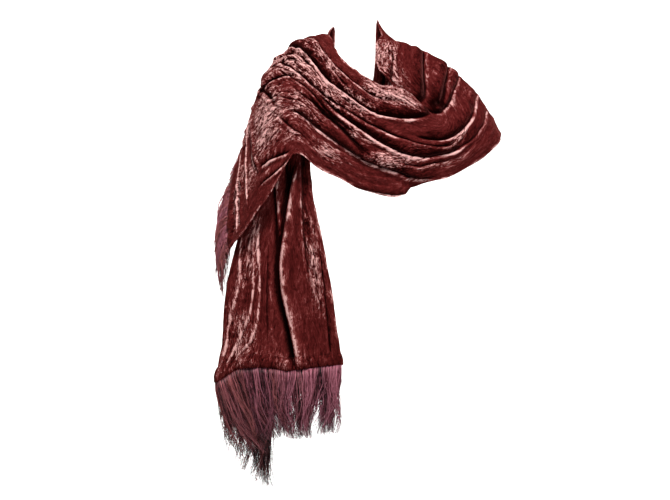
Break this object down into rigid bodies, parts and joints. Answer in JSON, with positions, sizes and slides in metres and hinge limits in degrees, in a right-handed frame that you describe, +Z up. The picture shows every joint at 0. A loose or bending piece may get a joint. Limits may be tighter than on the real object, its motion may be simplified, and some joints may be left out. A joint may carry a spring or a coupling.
{
  "type": "evening stole",
  "caption": "Long crushed-velvet stole worn wrapped round the shoulders, one fringed end hanging in front, the other falling behind the right arm",
  "frame": {"origin": "the middle of the base of the wearer's neck, where the wrap sits on the wearer", "axes": "+Z up the wearer, -Y the way the wearer faces, +X to the wearer's left"},
  "size_m": [0.6519, 0.327, 1.0253],
  "materials": {
    "velvet": "crushed velvet pile, deep maroon with pale pink lights on its creases",
    "hem_velvet": "turned velvet hem, dark maroon",
    "feather": "dyed mauve feather strands, soft and satiny",
    "back_feather": "dyed feather strands, browner in the shade"
  },
  "bodies": {
    "root": {"front_fringe": "feather", "front_hem": "hem_velvet", "front_fall": "velvet", "under_shoulder": "velvet", "nape_stretch": "velvet", "left_shoulder": "velvet", "chest_swag": "velvet", "right_shoulder": "velvet", "back_fall": "velvet", "back_hem": "hem_velvet", "back_fringe": "back_feather"}
  },
  "joints": []
}
